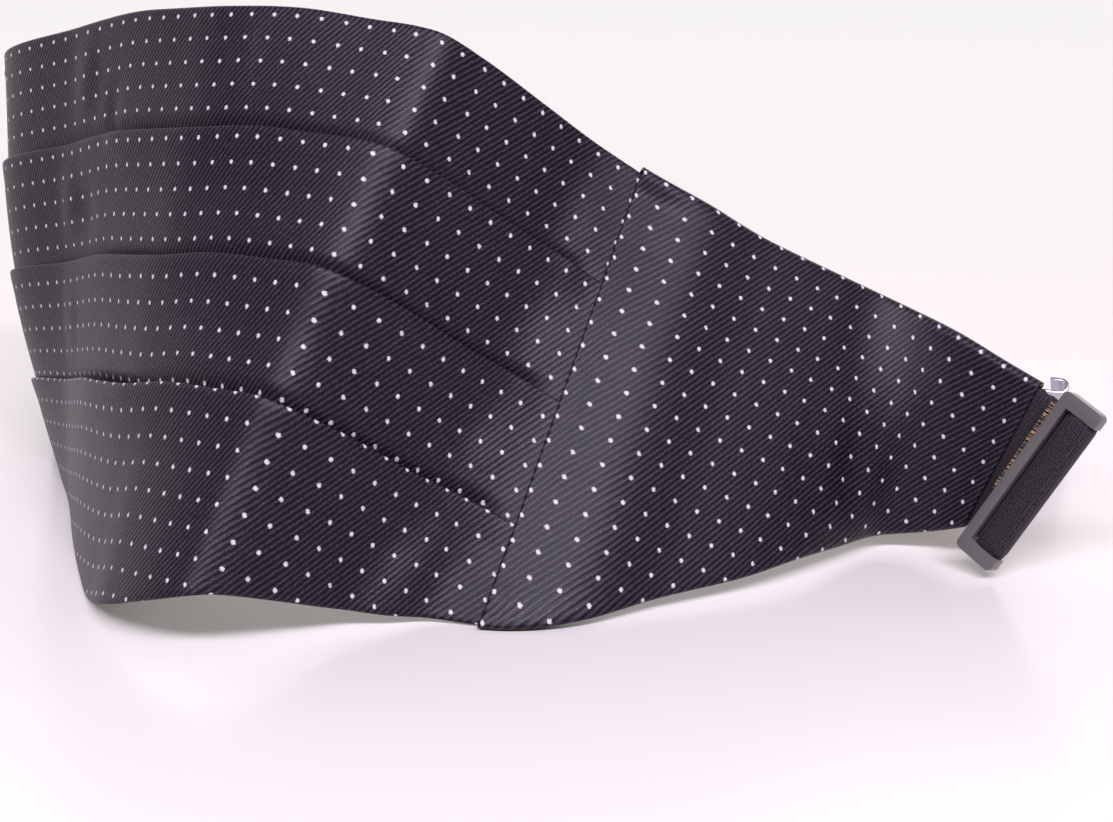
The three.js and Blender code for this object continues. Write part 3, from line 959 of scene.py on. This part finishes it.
def plain_lining(name):
    cloth = Finish(name, sheen_weight=0.15, specular_ior_level=0.3)
    uv, x, y = cloth.weave()
    warp = (x * (DOT_PITCH * TURN / 0.5)).by("SINE")
    weft = (y * (DOT_PITCH * TURN / 0.5)).by("SINE")
    mesh = warp * weft * 0.5 + 0.5
    patch = cloth.grain(2, 2, at=uv)
    colour = cloth.mixed(mesh * 0.6 + patch * 0.4, (0.006, 0.006, 0.009, 1), (0.02, 0.018, 0.026, 1))
    cloth.feed(base_color=colour, roughness=0.66 - 0.1 * mesh, normal=cloth.bump(mesh, 0.0001, 0.5))
    return cloth.material


def black_webbing(name):
    """Dull woven strap, more fuzz than weave."""
    web = Finish(
        name, sheen_weight=0.1, sheen_roughness=0.4, sheen_tint=(0.8, 0.75, 1, 1),
        specular_ior_level=0.25,
    )
    uv, x, y = web.weave()
    drift = web.grain(1.5, 2, at=uv)
    ribs = ((x + drift * 0.4) * (TURN / 0.55)).by("SINE") * 0.5 + 0.5
    cords = ((y + x * 0.35 + drift * 0.4) * (TURN / 0.62)).by("SINE") * 0.5 + 0.5
    fuzz = web.grain(2.6, 3, at=uv, roughness=0.75)
    weave = ribs * 0.06 + cords * 0.12 + fuzz * 0.82
    colour = web.mixed(web.between(weave, 0.36, 0.66), (0.003, 0.0024, 0.004, 1), (0.042, 0.032, 0.044, 1))
    web.feed(base_color=colour, roughness=0.78 - 0.15 * ribs, normal=web.bump(weave, 0.0002, 0.8))
    return web.material


def grey_plastic(name):
    plastic = Finish(name, specular_ior_level=0.5, coat_weight=0.25, coat_roughness=0.18)
    at = plastic.place()
    cloudy = plastic.grain(60, 3, at=at)
    pitted = plastic.grain(2600, 2, at=at)
    colour = plastic.mixed(cloudy, (0.094, 0.087, 0.088, 1), (0.126, 0.115, 0.116, 1))
    bump = plastic.bump(pitted, 0.00003, 0.35)
    plastic.feed(base_color=colour, roughness=0.30 + 0.12 * pitted, normal=bump)
    return plastic.material


def bright_metal(name):
    metal = Finish(name, metallic=1.0)
    at = metal.place()
    rubbed = metal.grain(90, 4, at=at)
    lines = metal.grain(1800, 2, at=at)
    colour = metal.mixed(rubbed, (0.42, 0.41, 0.46, 1), (0.74, 0.73, 0.80, 1))
    metal.feed(base_color=colour, roughness=0.16 + 0.2 * rubbed, normal=metal.bump(lines, 0.00002, 0.25))
    return metal.material


def gold_thread(name):
    thread = Finish(name, sheen_weight=0.4, specular_ior_level=0.6)
    at = thread.place()
    worn = thread.grain(420, 3, at=at)
    twist = thread.grain(4200, 2, at=at)
    colour = thread.mixed(thread.between(worn, 0.38, 0.64), (0.035, 0.016, 0.008, 1), (0.46, 0.27, 0.08, 1))
    thread.feed(base_color=colour, roughness=0.42 + 0.2 * twist, normal=thread.bump(twist, 0.00006, 0.6))
    return thread.material


def pale_table(name):
    table = Finish(name, specular_ior_level=0.2, roughness=0.24)
    at = table.place()
    _, y, _ = table.node("ShaderNodeSeparateXYZ", {}, {0: at})
    cloud = table.grain(2.2, 2, at=at)
    # Painted shade: the floor is darker and warmer close to the object and turns pale from 0.1 m to 1.6 m
    # behind it; the two dark tones are mottled at random.
    shaded_near = table.mixed(cloud, (0.735, 0.69, 0.66, 1), (0.755, 0.71, 0.68, 1))
    table.feed(base_color=table.mixed(table.between(y, 0.1, 1.6), shaded_near, (0.98, 0.97, 0.98, 1)))
    return table.material


# ------------------------------------------------------------------ the pieces

cloth_finish = dotted_twill("dotted twill")
front = pleated_front()
front.data.materials.append(cloth_finish)
front.data.materials.append(plain_lining("plain lining"))
outward(front)

right_panel = side_panel("right_panel_cloth", RIGHT_SEAM, RIGHT_END, SEAM_LAP)
left_panel = side_panel("left_panel_cloth", LEFT_SEAM, LEFT_END, LEFT_LAP)
for panel in (right_panel, left_panel):
    panel.data.materials.append(cloth_finish)

near_strap = right_strap()
far_strap, clasp_middle, clasp_along, clasp_up = left_strap()
strap_finish = black_webbing("black webbing")
for strap in (near_strap, far_strap):
    strap.data.materials.append(strap_finish)

buckle_frame = buckle()
buckle_frame.data.materials.append(grey_plastic("grey plastic"))
hook_clasp = clasp(clasp_middle, clasp_along, clasp_up)
hook_clasp.data.materials.append(bright_metal("bright metal"))
stitches = gold_stitches()
stitches.data.materials.append(gold_thread("gold thread"))

stands_for = (
    (front, "pleated_front", "dotted_cloth"),
    (right_panel, "right_side_panel", "dotted_cloth"),
    (left_panel, "left_side_panel", "dotted_cloth"),
    (near_strap, "right_strap", "black_webbing"),
    (far_strap, "left_strap", "black_webbing"),
    (buckle_frame, "buckle", "grey_plastic"),
    (hook_clasp, "hook_clasp", "bright_metal"),
)
for piece, node, finish in stands_for:
    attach(piece, "root")
    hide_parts(node)
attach(stitches, "root")

# ------------------------------------------------------------------ table and light

bpy.ops.object.select_all(action="DESELECT")
bpy.ops.mesh.primitive_plane_add(size=14, location=(0, 4.5, 0))
table_top = bpy.context.active_object
table_top.name = "table_top"
bpy.ops.object.transform_apply(location=True, rotation=True, scale=True)
table_top.data.materials.append(pale_table("pale table"))

world = bpy.data.worlds.new("studio")
bpy.context.scene.world = world
world.use_nodes = True
nodes, links = world.node_tree.nodes, world.node_tree.links
sky = nodes["Background"]
sky.inputs["Strength"].default_value = 1.0
way = nodes.new("ShaderNodeTexCoord")
parts = nodes.new("ShaderNodeSeparateXYZ")
links.new(way.outputs["Generated"], parts.inputs[0])
depth = nodes.new("ShaderNodeMapRange")
depth.interpolation_type = "SMOOTHSTEP"
links.new(parts.outputs["Y"], depth.inputs["Value"])
for socket, value in (("From Min", -0.05), ("From Max", 0.85), ("To Min", 0.0), ("To Max", 1.0)):
    depth.inputs[socket].default_value = value
room = nodes.new("ShaderNodeMix")
room.data_type = "RGBA"
links.new(depth.outputs["Result"], room.inputs["Factor"])
room.inputs["A"].default_value = (0.22, 0.17, 0.18, 1)
room.inputs["B"].default_value = (1.42, 1.41, 1.4, 1)
links.new(room.outputs["Result"], sky.inputs["Color"])
bpy.context.scene.view_settings.view_transform = "Standard"
bpy.context.scene.view_settings.look = "None"


def softbox(name, place_at, aim, size, watts, colour):
    light = bpy.data.lights.new(name, "AREA")
    light.shape = "RECTANGLE"
    light.size, light.size_y = size
    light.energy = watts
    light.color = colour
    lamp = bpy.data.objects.new(name, light)
    bpy.context.scene.collection.objects.link(lamp)
    lamp.location = place_at
    lamp.rotation_euler = (Vector(aim) - Vector(place_at)).to_track_quat("-Z", "Y").to_euler()


softbox("strip light", (0.03, -0.92, 1.02), (0, 0, 0.05), (1.5, 0.25), 28, (0.88, 0.85, 1.0))
